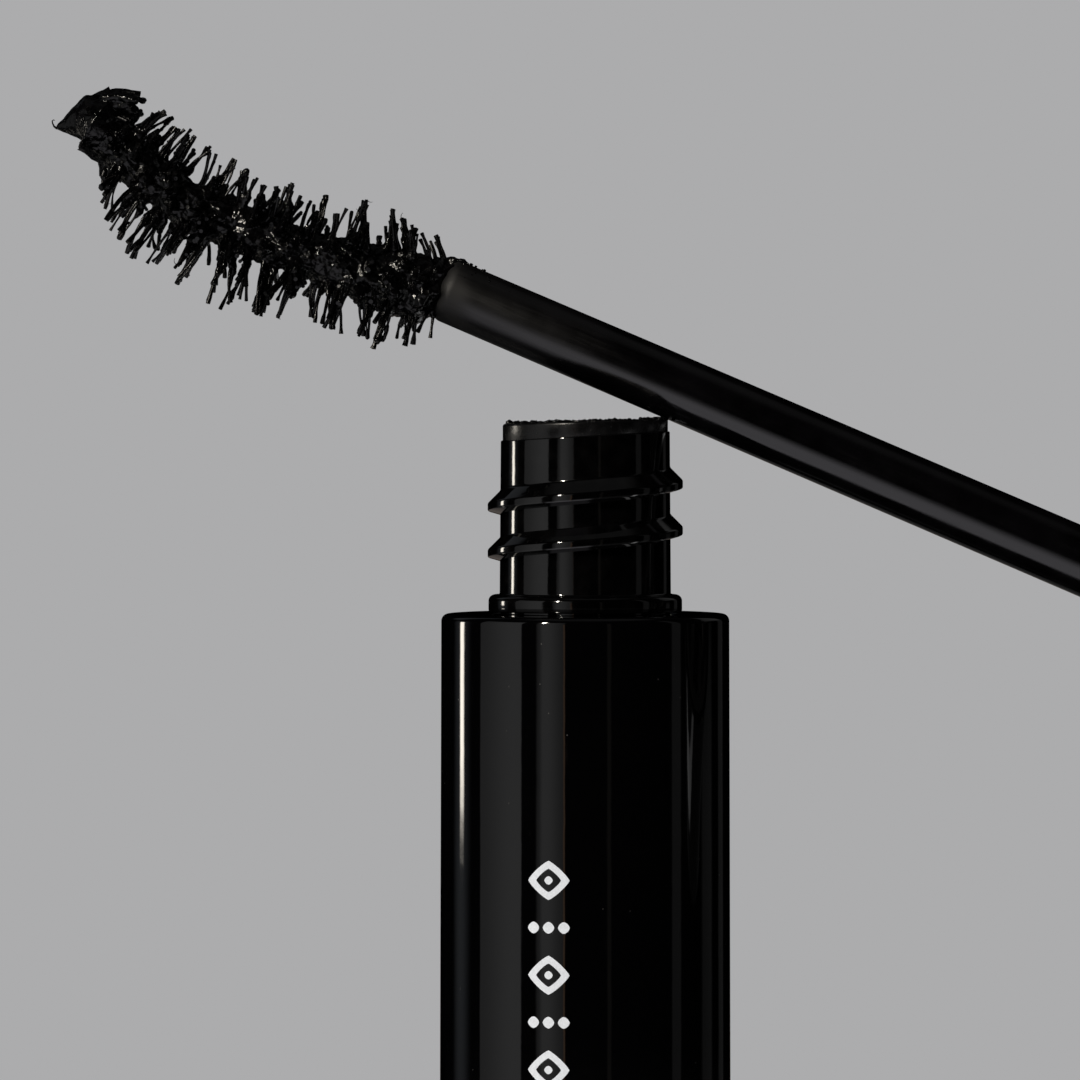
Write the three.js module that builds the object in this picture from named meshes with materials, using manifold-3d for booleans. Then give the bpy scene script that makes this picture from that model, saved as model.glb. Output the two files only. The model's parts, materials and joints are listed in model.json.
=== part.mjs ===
// A mascara tube with its wand laid across the open neck. Millimetres, +Z up.
// The origin is the centre of the tube's base. The wand lies in the XZ plane, its brush towards -X and up.

import Module from 'manifold-3d';
import * as THREE from 'three';
import { mergeVertices } from 'three/addons/utils/BufferGeometryUtils.js';

const wasm = await Module();
wasm.setup();

// Tube heights and radii
const SHOULDER_Z = 84;
const RIM_Z = SHOULDER_Z + 12;
const TUBE_TOP_R = 9;
const TUBE_BASE_R = 9.25;
const TUBE_WALL = 1.35;
const SHOULDER_THICK = 1.4;
const TUBE_EDGE_R = 0.65;
const BOTTLE_R = 7.35;
const BOTTLE_WALL = 1.35;
const BOTTLE_BASE_Z = 7.4;
const NECK_R = 5.3;
const NECK_BORE_R = 4.2;
const BEAD_R = 6.05;
const BEAD_THICK = 1.05;
const THREAD_CREST_R = 6.1;
const THREAD_PITCH = 2.9;
const THREAD_START_Z = SHOULDER_Z + 3.07;
const SCREW_STEPS = 32;
const WIPER_LIP_R = 5.16;
const WIPER_LIP_THICK = 0.95;
const WIPER_LIP_EDGE_R = 0.3;
const WIPER_SLEEVE_R = 4.1;
const WIPER_MOUTH_R = 3.6;
const WIPER_ORIFICE_R = 2.4;
const WIPER_FUNNEL_DEPTH = 6;
const WIPER_DEPTH = 12;
const PLUG_FLANGE_THICK = 1.2;
const PLUG_SPIGOT_R = 7.75;
const PLUG_FLOOR = 1.9;
const PLUG_RING_WALL = 1.1;
const PLUG_RING_TOP = BOTTLE_BASE_Z - 0.2;
const FILL_R = 5.85;
const FILL_TOP_Z = 78;
const FILL_CHANNEL_R = 3.1;
const ASSEMBLY_GAP = 0.15;

// Wand, along its own +Z: the brush starts at 0, the stem and the cap are below it
const STEM_BRUSH_R = 2;
const STEM_CAP_R = 2.1;
const STEM_BORE_R = 1.1;
const STEM_EXPOSED = 49;
const CAP_LENGTH = 38;
const CAP_R = 9;
const CAP_WALL = 0.8;
const CAP_EDGE_R = 0.8;
const LINER_R = 7.3;
const LINER_FLANGE_R = 7.9;
const LINER_FLANGE_THICK = 1.2;
const LINER_BORE_R = 6.35;
const LINER_RECESS = 0.5;
const LINER_BORE_DEPTH = 12.9;
const LINER_WALL = 1.2;
const SOCKET_R = 4.8;
const SOCKET_BORE_R = 3.9;
const SOCKET_LENGTH = 3.6;
const HEAD_R = 3.5;
const HEAD_THICK = 1.4;
const TURNED_GAP = 0.3;
const WIRE_STRAND_R = 0.22;
const WIRE_HOLE_R = 0.75;
const WIRE_HOLE_DEPTH = 5;
const WIRE_TWIST_PITCH = 8.8;
const BRISTLE_ROWS = 24;
const BRISTLES_PER_ROW = 10;
const BRISTLE_R = 4.2;
const BRISTLE_BIAS = 0.5;
const ROW_THICK = 0.34;
const ROW_HUB_R = 1.25;
const ROW_HOLE_R = 0.75;
const FIRST_ROW_AT = 1;
const LAST_ROW_AT = 24.3;
const ROW_TURN = THREE.MathUtils.degToRad(23);

// How the wand lies: its slope, its gap above the rim, and how far its stem reaches past the rim
const WAND_SLOPE = THREE.MathUtils.degToRad(23.15);
const STEM_RIM_GAP = 0.2;
const STEM_PAST_RIM = 16.2;

const GLOSS_BLACK = { color: 0x060607, roughness: 0.08, metalness: 0 };
const NECK_BLACK = { color: 0x070708, roughness: 0.12, metalness: 0 };
const WIPER_BLACK = { color: 0x141416, roughness: 0.38, metalness: 0 };
const STEM_BLACK = { color: 0x0b0a0c, roughness: 0.28, metalness: 0 };
const LINER_GREY = { color: 0x1c1c1e, roughness: 0.45, metalness: 0 };
const WASHER_WHITE = { color: 0xd8d6d0, roughness: 0.7, metalness: 0 };
const WIRE_STEEL = { color: 0x8f9194, roughness: 0.3, metalness: 1 };
const WEIGHT_STEEL = { color: 0x7d7f82, roughness: 0.4, metalness: 1 };
const BRISTLE_BLACK = { color: 0x050505, roughness: 0.5, metalness: 0 };
const PRODUCT_BLACK = { color: 0x030303, roughness: 0.15, metalness: 0 };

const { cos, sin, PI } = Math;

// A closed solid from corner points and triangles, with its faces pointing out
function closedSolid(points, triangles) {
  let volume = 0;
  for (const [a, b, c] of triangles) {
    volume += points[a].dot(points[b].clone().cross(points[c]));
  }
  const faces = volume < 0 ? triangles.map(([a, b, c]) => [a, c, b]) : triangles;
  const geometry = new THREE.BufferGeometry().setFromPoints(points);
  geometry.setIndex(faces.flat());
  return geometry;
}

// A three.js geometry with shared corners merged, and the slivers this leaves taken out
function welded(source) {
  const bare = source.clone();
  bare.deleteAttribute('normal');
  bare.deleteAttribute('uv');
  const merged = mergeVertices(bare, 1e-4);
  const index = [...merged.index.array];
  const triangles = [];
  for (let i = 0; i < index.length; i += 3) {
    const [a, b, c] = index.slice(i, i + 3);
    if (a !== b && b !== c && c !== a) triangles.push([a, b, c]);
  }
  const position = merged.getAttribute('position');
  const points = [];
  for (let i = 0; i < position.count; i += 1) {
    points.push(new THREE.Vector3().fromBufferAttribute(position, i));
  }
  return closedSolid(points, triangles);
}

// A profile of [radius, height] pairs spun about the Z axis
function spun(profile, segments) {
  const outline = profile.map(([radius, height]) => new THREE.Vector2(radius, height));
  const lathe = new THREE.LatheGeometry(outline, segments);
  lathe.rotateX(PI / 2);
  return welded(lathe);
}

// Points of a rounded corner: a quarter circle from one angle to another, in degrees
function corner(centreR, centreZ, radius, fromDegrees, toDegrees, steps) {
  const points = [];
  for (let i = 0; i <= steps; i += 1) {
    const angle = THREE.MathUtils.degToRad(fromDegrees + ((toDegrees - fromDegrees) * i) / steps);
    points.push([centreR + radius * cos(angle), centreZ + radius * sin(angle)]);
  }
  return points;
}

function toManifold(geometry) {
  return new wasm.Manifold(new wasm.Mesh({
    numProp: 3,
    vertProperties: new Float32Array(geometry.getAttribute('position').array),
    triVerts: new Uint32Array(geometry.index.array),
  }));
}

function united(first, ...others) {
  let solid = toManifold(first);
  for (const other of others) solid = solid.add(toManifold(other));
  const mesh = solid.getMesh();
  const geometry = new THREE.BufferGeometry();
  geometry.setAttribute('position', new THREE.BufferAttribute(mesh.vertProperties, 3));
  geometry.setIndex(new THREE.BufferAttribute(mesh.triVerts, 1));
  return geometry;
}

// Rings of corner points joined one to the next, and closed with a flat fan at each end
function lofted(rings) {
  const points = [];
  const triangles = [];
  const count = rings[0].length;
  for (const ring of rings) points.push(...ring);
  for (let i = 0; i < rings.length - 1; i += 1) {
    for (let j = 0; j < count; j += 1) {
      const a = i * count + j;
      const b = i * count + ((j + 1) % count);
      triangles.push([a, b, a + count], [b, b + count, a + count]);
    }
  }
  const last = (rings.length - 1) * count;
  for (let j = 1; j < count - 1; j += 1) {
    triangles.push([0, j + 1, j], [last, last + j, last + j + 1]);
  }
  return closedSolid(points, triangles);
}

// A right-handed screw ridge. The profile is [share of the ridge's depth, height] pairs, share 0 at the root.
function ridge({ rootR, crestR, startZ, startAngle, turns, profile }) {
  const runIn = 0.16;
  const steps = Math.round(turns * SCREW_STEPS);
  const rings = [];
  for (let i = 0; i <= steps; i += 1) {
    const turn = i / SCREW_STEPS;
    const angle = startAngle + 2 * PI * turn;
    const fromEnd = Math.min(turn, turns - turn);
    const depth = (crestR - rootR) * Math.max(0.06, Math.min(1, fromEnd / runIn));
    rings.push(profile.map(([share, height]) => {
      const radius = rootR + depth * share;
      const z = startZ + THREAD_PITCH * turn + height;
      return new THREE.Vector3(radius * cos(angle), radius * sin(angle), z);
    }));
  }
  return lofted(rings);
}

function namedMesh(name, geometry, finish) {
  const mesh = new THREE.Mesh(geometry, new THREE.MeshStandardMaterial(finish));
  mesh.name = name;
  return mesh;
}

// The outer tube: a shell with a flat shoulder, open at the bottom and pierced for the neck
function outerSleeve() {
  const bottom = PLUG_FLANGE_THICK + ASSEMBLY_GAP;
  const mouthR = BEAD_R + 0.2;
  const underside = SHOULDER_Z - SHOULDER_THICK;
  return spun([
    [TUBE_BASE_R - TUBE_WALL, bottom],
    [TUBE_BASE_R, bottom],
    ...corner(TUBE_TOP_R - TUBE_EDGE_R, SHOULDER_Z - TUBE_EDGE_R, TUBE_EDGE_R, 0, 90, 4),
    [mouthR, SHOULDER_Z],
    [mouthR, underside],
    [TUBE_TOP_R - TUBE_WALL, underside],
    [TUBE_BASE_R - TUBE_WALL, bottom],
  ], 48);
}

// The bottle that holds the mascara: a closed cylinder, its neck, the bead at the neck's foot and the thread
function innerBottle() {
  const shoulder = SHOULDER_Z - SHOULDER_THICK - ASSEMBLY_GAP;
  const beadZ = SHOULDER_Z + ASSEMBLY_GAP;
  const beadTop = beadZ + BEAD_THICK;
  const lipGap = 0.05;
  const neckTop = RIM_Z - WIPER_LIP_THICK - lipGap;
  const neckFootR = NECK_R + 0.05;
  const neckTopR = NECK_R - 0.02;
  const neckBoreZ = shoulder - 0.6;
  const insideR = BOTTLE_R - BOTTLE_WALL;
  const beadEdge = 0.4;
  const baseBevel = 0.6;
  const insideBevel = 1;
  const body = spun([
    [0, BOTTLE_BASE_Z],
    [BOTTLE_R - baseBevel, BOTTLE_BASE_Z],
    [BOTTLE_R, BOTTLE_BASE_Z + baseBevel],
    [BOTTLE_R, shoulder],
    [NECK_R, shoulder],
    [NECK_R, beadZ],
    [BEAD_R, beadZ],
    ...corner(BEAD_R - beadEdge, beadTop - beadEdge, beadEdge, 0, 90, 3),
    [neckFootR, beadTop],
    [neckTopR, neckTop],
    [NECK_BORE_R, neckTop],
    [NECK_BORE_R, neckBoreZ],
    [insideR, shoulder - BOTTLE_WALL - insideBevel],
    [insideR, BOTTLE_BASE_Z + BOTTLE_WALL + insideBevel],
    [insideR - insideBevel, BOTTLE_BASE_Z + BOTTLE_WALL],
    [0, BOTTLE_BASE_Z + BOTTLE_WALL],
  ], SCREW_STEPS);
  const thread = ridge({
    rootR: NECK_R - 0.35,
    crestR: THREAD_CREST_R,
    startZ: THREAD_START_Z,
    startAngle: PI / 2,
    turns: 2,
    profile: [[0, -0.62], [1, -0.24], [1, 0.2], [0, 1.3]],
  });
  return united(body, thread);
}

// The soft wiper pressed into the neck: a lip on the rim, a sleeve, and a funnel down to a small orifice
function wiper() {
  const lipZ = RIM_Z - WIPER_LIP_THICK;
  const funnelZ = RIM_Z - WIPER_FUNNEL_DEPTH;
  const orificeZ = RIM_Z - WIPER_DEPTH;
  const skin = 0.5;
  const mouthBevel = 0.3;
  return spun([
    [WIPER_MOUTH_R, funnelZ],
    [WIPER_MOUTH_R, RIM_Z - mouthBevel],
    [WIPER_MOUTH_R + mouthBevel, RIM_Z],
    ...corner(WIPER_LIP_R - WIPER_LIP_EDGE_R, RIM_Z - WIPER_LIP_EDGE_R, WIPER_LIP_EDGE_R, 90, 0, 3),
    [WIPER_LIP_R, lipZ],
    [WIPER_SLEEVE_R, lipZ],
    [WIPER_SLEEVE_R, funnelZ],
    [WIPER_ORIFICE_R + skin, orificeZ],
    [WIPER_ORIFICE_R, orificeZ],
    [WIPER_MOUTH_R, funnelZ],
  ], 32);
}

// The base plug: a flat foot with a bevelled edge, and a ring that grips the inside of the sleeve
function basePlug() {
  const bevel = 0.35;
  const ringBoreR = PLUG_SPIGOT_R - PLUG_RING_WALL;
  return spun([
    [0, 0],
    [TUBE_BASE_R - bevel, 0],
    [TUBE_BASE_R, bevel],
    [TUBE_BASE_R, PLUG_FLANGE_THICK],
    [PLUG_SPIGOT_R, PLUG_FLANGE_THICK],
    [PLUG_SPIGOT_R, PLUG_RING_TOP],
    [ringBoreR, PLUG_RING_TOP],
    [ringBoreR, PLUG_FLOOR],
    [0, PLUG_FLOOR],
  ], 48);
}

// The steel disc in the base plug, which keeps the open tube steady
function baseWeight() {
  const radius = PLUG_SPIGOT_R - PLUG_RING_WALL - ASSEMBLY_GAP;
  const bottom = PLUG_FLOOR + ASSEMBLY_GAP;
  const bevel = 0.3;
  return spun([
    [0, bottom],
    [radius - bevel, bottom],
    [radius, bottom + bevel],
    [radius, PLUG_RING_TOP - bevel],
    [radius - bevel, PLUG_RING_TOP],
    [0, PLUG_RING_TOP],
  ], 32);
}

// The mascara in the bottle, with the channel that the wand leaves in it
function mascaraFill() {
  const floorGap = 0.2;
  const bottom = BOTTLE_BASE_Z + BOTTLE_WALL + floorGap;
  const bevel = 1.1;
  const channelZ = bottom + 1;
  const crestR = FILL_R - 1;
  const crestZ = FILL_TOP_Z + 0.6;
  const dipR = FILL_CHANNEL_R + 0.4;
  const dipZ = FILL_TOP_Z - 0.8;
  const channelTopZ = FILL_TOP_Z - 2.4;
  return spun([
    [0, bottom],
    [FILL_R - bevel, bottom],
    [FILL_R, bottom + bevel],
    [FILL_R, FILL_TOP_Z],
    [crestR, crestZ],
    [dipR, dipZ],
    [FILL_CHANNEL_R, channelTopZ],
    [FILL_CHANNEL_R, channelZ],
    [0, channelZ],
  ], 24);
}

const CAP_MOUTH = -STEM_EXPOSED;
const LINER_MOUTH = CAP_MOUTH - LINER_RECESS;
const LINER_CEILING = LINER_MOUTH - LINER_BORE_DEPTH;
const SOCKET_FLOOR = LINER_CEILING - LINER_WALL;
const STEM_HEAD_TOP = SOCKET_FLOOR - TURNED_GAP - HEAD_THICK;

// The cap: a plain cylinder, closed at its far end
function capShell() {
  const end = CAP_MOUTH - CAP_LENGTH;
  const insideR = CAP_R - CAP_WALL;
  const insideEnd = end + CAP_WALL + 0.3;
  const mouthBevel = 0.2;
  return spun([
    [0, end],
    ...corner(CAP_R - CAP_EDGE_R, end + CAP_EDGE_R, CAP_EDGE_R, -90, 0, 4),
    [CAP_R, CAP_MOUTH - mouthBevel],
    [CAP_R - mouthBevel, CAP_MOUTH],
    [insideR, CAP_MOUTH],
    [insideR, insideEnd],
    [0, insideEnd],
  ], 48);
}

// The moulding inside the cap: the threaded bore that grips the neck, the socket for the stem, and four ribs
function capLiner() {
  const mouthBevel = 0.4;
  const body = spun([
    [LINER_BORE_R, LINER_CEILING],
    [LINER_BORE_R, LINER_MOUTH - mouthBevel],
    [LINER_BORE_R + mouthBevel, LINER_MOUTH],
    [LINER_FLANGE_R, LINER_MOUTH],
    [LINER_FLANGE_R, LINER_MOUTH - LINER_FLANGE_THICK],
    [LINER_R, LINER_MOUTH - LINER_FLANGE_THICK],
    [LINER_R, SOCKET_FLOOR],
    [SOCKET_R, SOCKET_FLOOR],
    [SOCKET_R, SOCKET_FLOOR - SOCKET_LENGTH],
    [SOCKET_BORE_R, SOCKET_FLOOR - SOCKET_LENGTH],
    [SOCKET_BORE_R, SOCKET_FLOOR],
    [STEM_CAP_R + TURNED_GAP, SOCKET_FLOOR],
    [STEM_CAP_R + TURNED_GAP, LINER_CEILING],
    [LINER_BORE_R, LINER_CEILING],
  ], SCREW_STEPS);
  const thread = ridge({
    rootR: LINER_BORE_R + 0.3,
    crestR: THREAD_CREST_R - 0.45,
    startZ: LINER_CEILING + 2.4,
    startAngle: 0,
    turns: 1.5,
    profile: [[0, -0.5], [1, -0.2], [1, 0.2], [0, 0.5]],
  });
  const ribs = [];
  const ribCount = 4;
  const ribFrom = SOCKET_R - 0.35;
  const ribTo = LINER_R - 0.05;
  const ribThick = 0.9;
  const ribLow = SOCKET_FLOOR - 2.5;
  const ribHigh = SOCKET_FLOOR + 0.1;
  const ribTurn = PI / SCREW_STEPS;
  for (let i = 0; i < ribCount; i += 1) {
    const rib = new THREE.BoxGeometry(ribTo - ribFrom, ribThick, ribHigh - ribLow);
    rib.translate((ribFrom + ribTo) / 2, 0, (ribLow + ribHigh) / 2);
    rib.rotateZ((2 * PI * i) / ribCount + ribTurn);
    ribs.push(welded(rib));
  }
  return united(body, thread, ...ribs);
}

// The loose washer at the top of the cap's bore, which seals on the rim
function sealWasher() {
  const top = LINER_CEILING + TURNED_GAP;
  const threadClearance = 0.85;
  const outerR = LINER_BORE_R - threadClearance;
  const holeR = STEM_CAP_R + 0.4;
  const thick = 0.8;
  return spun([
    [holeR, top],
    [outerR, top],
    [outerR, top + thick],
    [holeR, top + thick],
    [holeR, top],
  ], 24);
}

// The stem: a tapered rod with a rounded end, bored for the wire, and hollow behind.
// Its head is held in the socket.
function stem() {
  const endR = 0.8;
  const wireHoleFloor = 2.5;
  const hollowEnd = -WIRE_HOLE_DEPTH - wireHoleFloor;
  return spun([
    [0, -WIRE_HOLE_DEPTH],
    [WIRE_HOLE_R, -WIRE_HOLE_DEPTH],
    [WIRE_HOLE_R, 0],
    ...corner(STEM_BRUSH_R - endR, -endR, endR, 90, 0, 4),
    [STEM_CAP_R, CAP_MOUTH],
    [STEM_CAP_R, STEM_HEAD_TOP + HEAD_THICK],
    [HEAD_R, STEM_HEAD_TOP + HEAD_THICK],
    [HEAD_R, STEM_HEAD_TOP],
    [STEM_BORE_R, STEM_HEAD_TOP],
    [STEM_BORE_R, hollowEnd],
    [0, hollowEnd],
  ], 24);
}

// The line of the brush: straight out of the stem, then bent like a banana, convex side down
const BRUSH_LINE = new THREE.CubicBezierCurve3(
  new THREE.Vector3(0, 0, 0),
  new THREE.Vector3(-0.9, 0, 7),
  new THREE.Vector3(-4.1, 0, 15.5),
  new THREE.Vector3(1.5, 0, 24.4),
);
const BRUSH_LENGTH = BRUSH_LINE.getLength();

// Where the brush's line is at a distance along it, as axes: up is away from the convex side
function brushFrame(distance) {
  if (distance <= 0) {
    const at = new THREE.Vector3(0, 0, distance);
    return { at, along: new THREE.Vector3(0, 0, 1), up: new THREE.Vector3(1, 0, 0) };
  }
  const share = Math.min(1, distance / BRUSH_LENGTH);
  const at = BRUSH_LINE.getPointAt(share);
  const along = BRUSH_LINE.getTangentAt(share);
  return { at, along, up: new THREE.Vector3(along.z, 0, -along.x) };
}

const SIDE = new THREE.Vector3(0, 1, 0);

// The core: one wire folded back on itself and twisted, so its section is two strands side by side
function wireCore() {
  const strandSteps = 5;
  const stations = 44;
  const from = TURNED_GAP - WIRE_HOLE_DEPTH;
  const halfSpacing = WIRE_STRAND_R * 0.9;
  const section = [];
  for (const strand of [1, -1]) {
    for (let i = 0; i < strandSteps; i += 1) {
      const angle = -PI / 2 + (PI * i) / (strandSteps - 1);
      section.push([
        strand * (halfSpacing + WIRE_STRAND_R * cos(angle)),
        strand * WIRE_STRAND_R * sin(angle),
      ]);
    }
  }
  const rings = [];
  for (let i = 0; i <= stations; i += 1) {
    const distance = from + ((BRUSH_LENGTH - from) * i) / stations;
    const { at, up } = brushFrame(distance);
    const twist = (2 * PI * distance) / WIRE_TWIST_PITCH;
    rings.push(section.map(([x, y]) => at.clone()
      .addScaledVector(up, x * cos(twist) - y * sin(twist))
      .addScaledVector(SIDE, x * sin(twist) + y * cos(twist))));
  }
  return lofted(rings);
}

// The bristles' reach at a distance along the brush: a short swell at the stem, and a rounded tip
function bristleReach(distance) {
  const swellFrom = 0.68;
  const swellLength = 2.8;
  const swell = swellFrom + (1 - swellFrom) * Math.min(1, distance / swellLength);
  const tipStart = 20;
  const tipLength = 5;
  const past = Math.max(0, distance - tipStart) / tipLength;
  return BRISTLE_R * swell * Math.sqrt(1 - past * past);
}

// One turn of the bristles: a ring round the wire with straight blunt fibres
function bristleRow(distance, turn) {
  const reach = bristleReach(distance);
  const rootHalf = 0.2;
  const tipHalf = 0.12;
  const outline = new THREE.Shape();
  for (let i = 0; i < BRISTLES_PER_ROW; i += 1) {
    const angle = turn + (2 * PI * i) / BRISTLES_PER_ROW;
    const tip = reach - BRISTLE_BIAS * (reach / BRISTLE_R) * cos(angle);
    const across = new THREE.Vector2(-sin(angle), cos(angle));
    const out = new THREE.Vector2(cos(angle), sin(angle));
    const fibre = [[ROW_HUB_R, -rootHalf], [tip, -tipHalf], [tip, tipHalf], [ROW_HUB_R, rootHalf]];
    for (const [radius, half] of fibre) {
      const point = out.clone().multiplyScalar(radius).addScaledVector(across, half);
      if (i === 0 && half === -rootHalf) outline.moveTo(point.x, point.y);
      else outline.lineTo(point.x, point.y);
    }
  }
  const hole = new THREE.Path();
  hole.absarc(0, 0, ROW_HOLE_R, 0, 2 * PI, true);
  outline.holes.push(hole);
  const flat = { depth: ROW_THICK, bevelEnabled: false, curveSegments: 10 };
  const row = new THREE.ExtrudeGeometry(outline, flat);
  row.translate(0, 0, -ROW_THICK / 2);
  const { at, along, up } = brushFrame(distance);
  row.applyMatrix4(new THREE.Matrix4().makeBasis(up, SIDE, along).setPosition(at));
  return welded(row);
}

// The drop of mascara that hangs on the brush's tip
function tipDrop() {
  const drop = spun([
    [0, 0],
    [0.9, 0.1],
    [1.2, 0.5],
    [1, 1],
    [0.4, 1.5],
    [0, 1.8],
  ], 12);
  const { at, along, up } = brushFrame(BRUSH_LENGTH);
  at.addScaledVector(along, TURNED_GAP);
  drop.applyMatrix4(new THREE.Matrix4().makeBasis(up, SIDE, along).setPosition(at));
  return drop;
}

const tube = new THREE.Group();
tube.add(
  namedMesh('outer_sleeve', outerSleeve(), GLOSS_BLACK),
  namedMesh('inner_bottle', innerBottle(), NECK_BLACK),
  namedMesh('wiper', wiper(), WIPER_BLACK),
  namedMesh('base_plug', basePlug(), GLOSS_BLACK),
  namedMesh('base_weight', baseWeight(), WEIGHT_STEEL),
  namedMesh('mascara_fill', mascaraFill(), PRODUCT_BLACK),
);

const wand = new THREE.Group();
wand.add(
  namedMesh('cap_shell', capShell(), GLOSS_BLACK),
  namedMesh('cap_liner', capLiner(), LINER_GREY),
  namedMesh('seal_washer', sealWasher(), WASHER_WHITE),
  namedMesh('stem', stem(), STEM_BLACK),
  namedMesh('wire_core', wireCore(), WIRE_STEEL),
  namedMesh('tip_drop', tipDrop(), PRODUCT_BLACK),
);
for (let i = 0; i < BRISTLE_ROWS; i += 1) {
  const distance = FIRST_ROW_AT + ((LAST_ROW_AT - FIRST_ROW_AT) * i) / (BRISTLE_ROWS - 1);
  const name = `bristle_row_${String(i + 1).padStart(2, '0')}`;
  wand.add(namedMesh(name, bristleRow(distance, i * ROW_TURN), BRISTLE_BLACK));
}

// The stem lies on the round edge of the wiper's lip: from there, out by its radius and along to the brush
const towardsBrush = new THREE.Vector3(-cos(WAND_SLOPE), 0, sin(WAND_SLOPE));
const awayFromRim = new THREE.Vector3(sin(WAND_SLOPE), 0, cos(WAND_SLOPE));
const stemRadiusAtRim = STEM_BRUSH_R + ((STEM_CAP_R - STEM_BRUSH_R) * STEM_PAST_RIM) / STEM_EXPOSED;
wand.position.set(WIPER_LIP_R - WIPER_LIP_EDGE_R, 0, RIM_Z - WIPER_LIP_EDGE_R);
wand.position.addScaledVector(awayFromRim, WIPER_LIP_EDGE_R + STEM_RIM_GAP + stemRadiusAtRim);
wand.position.addScaledVector(towardsBrush, STEM_PAST_RIM);
wand.rotation.y = WAND_SLOPE - PI / 2;

const mascara = new THREE.Group();
mascara.add(tube, wand);

export default mascara;
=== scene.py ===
import json
import math
import random

import bmesh
import bpy
import numpy as np
from mathutils import Matrix, Vector, noise


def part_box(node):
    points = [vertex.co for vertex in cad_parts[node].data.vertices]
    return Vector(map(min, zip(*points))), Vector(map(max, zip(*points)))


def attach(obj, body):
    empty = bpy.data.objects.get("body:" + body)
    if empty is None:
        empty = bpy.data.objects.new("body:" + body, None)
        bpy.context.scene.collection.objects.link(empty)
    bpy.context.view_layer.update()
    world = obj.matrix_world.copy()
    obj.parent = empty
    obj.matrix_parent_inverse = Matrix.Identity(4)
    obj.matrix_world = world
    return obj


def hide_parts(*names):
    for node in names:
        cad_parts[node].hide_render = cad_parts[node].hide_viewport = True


# An open mascara tube with its wand laid across the neck.
# Shapes are made in millimetres, in the tube's frame or in the wand's own frame, and placed in metres.
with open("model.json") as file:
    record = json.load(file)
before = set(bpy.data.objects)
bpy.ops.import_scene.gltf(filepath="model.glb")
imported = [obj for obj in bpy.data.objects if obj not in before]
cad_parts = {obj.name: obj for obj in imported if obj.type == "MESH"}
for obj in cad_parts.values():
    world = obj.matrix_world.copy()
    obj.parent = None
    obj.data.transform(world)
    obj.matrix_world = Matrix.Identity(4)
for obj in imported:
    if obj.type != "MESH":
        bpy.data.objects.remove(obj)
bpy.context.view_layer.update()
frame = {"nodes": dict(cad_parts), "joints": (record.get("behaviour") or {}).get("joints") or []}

MM = 0.001
TAU = 2 * math.pi
SIDE = Vector((0, 1, 0))


def box_mm(node):
    """The lowest and highest corners of a CAD node at rest, in millimetres."""
    low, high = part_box(node)
    return low / MM, high / MM


# The tube: main sizes from the frame, details as on the CAD
SLEEVE_LOW, SLEEVE_HIGH = box_mm("outer_sleeve")
BOTTLE_LOW, BOTTLE_HIGH = box_mm("inner_bottle")
WIPER_HIGH = box_mm("wiper")[1]
SHOULDER_Z = SLEEVE_HIGH.z
RIM_Z = WIPER_HIGH.z
SLEEVE_BASE_R = SLEEVE_HIGH.x
SLEEVE_TOP_R = 9.0
SLEEVE_WALL = 1.35
SLEEVE_EDGE_R = 0.45
SHOULDER_THICK = 1.4
BOTTLE_R = BOTTLE_HIGH.x
BOTTLE_WALL = 1.35
NECK_R = 5.3
NECK_BORE_R = 4.2
BEAD_R = 6.05
BEAD_THICK = 1.05
THREAD_CREST_R = 6.1
THREAD_PITCH = 2.9
THREAD_START_Z = SHOULDER_Z + 3.07
LIP_R = WIPER_HIGH.x
LIP_THICK = 0.95
LIP_EDGE_R = 0.14
WIPER_SLEEVE_R = 4.1
WIPER_MOUTH_R = 3.6
WIPER_ORIFICE_R = 2.4
PLUG_SPIGOT_R = 7.75
GAP = 0.15
PRINT_PROUD = 0.02
PRINT_SUNK = -0.03

# The wand, in its own frame: the brush starts at 0 and points along +Z, and +X is its upper side
STEM_BRUSH_R = 2.0
STEM_CAP_R = 2.1
STEM_EXPOSED = 49.0
CAP_LENGTH = 38.0
CAP_R = 9.0
CAP_WALL = 0.8
LINER_R = 7.3
LINER_FLANGE_R = 7.9
LINER_FLANGE_THICK = 1.2
LINER_BORE_R = 6.35
LINER_RECESS = 0.5
LINER_BORE_DEPTH = 12.9
LINER_WALL = 1.2
BRISTLE_ROWS = 24
BRISTLE_R = 4.3
BRISTLE_BIAS = 0.4
FIRST_ROW_AT = 0.7
LAST_ROW_AT = 24.4
BRUSH_BEND = ((0, 0, 0), (-0.9, 0, 7), (-4.1, 0, 15.5), (1.5, 0, 24.4))

TWIST = next(joint for joint in frame["joints"] if joint["name"] == "wand_twist")
ALONG = -Vector(TWIST["axis"]).normalized()
UP = SIDE.cross(ALONG)
WAND_SLOPE = math.asin(ALONG.z)
TUBE_PLACE = Matrix.Scale(MM, 4)
WAND_PLACE = (
    Matrix.Translation(Vector(TWIST["pos_m"]))
    @ Matrix((UP, SIDE, ALONG)).transposed().to_4x4()
    @ Matrix.Scale(MM, 4)
)

# The camera: level with the neck, one degree above the horizon, through a long lens
VIEW_CENTRE = Vector((-2.83, 0, RIM_Z - 7.4)) * MM
VIEW_WIDTH = 67.5 * MM
LENS = 200
SENSOR = 36
ELEVATION = math.radians(1)

GREY_BACKDROP = (0.412, 0.412, 0.418)
SOFT_FILL = 0.13
FLOOR_R = 460


# ---------------------------------------------------------------- meshes


def placed(name, shape, place, sharp_degrees=30):
    """An object from (points, faces) in millimetres, put in place in the row frame."""
    points, faces = shape
    mesh = bpy.data.meshes.new(name)
    mesh.from_pydata([tuple(place @ Vector(point)) for point in points], [], faces)
    mesh.update()
    return finished(name, mesh, sharp_degrees)


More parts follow.
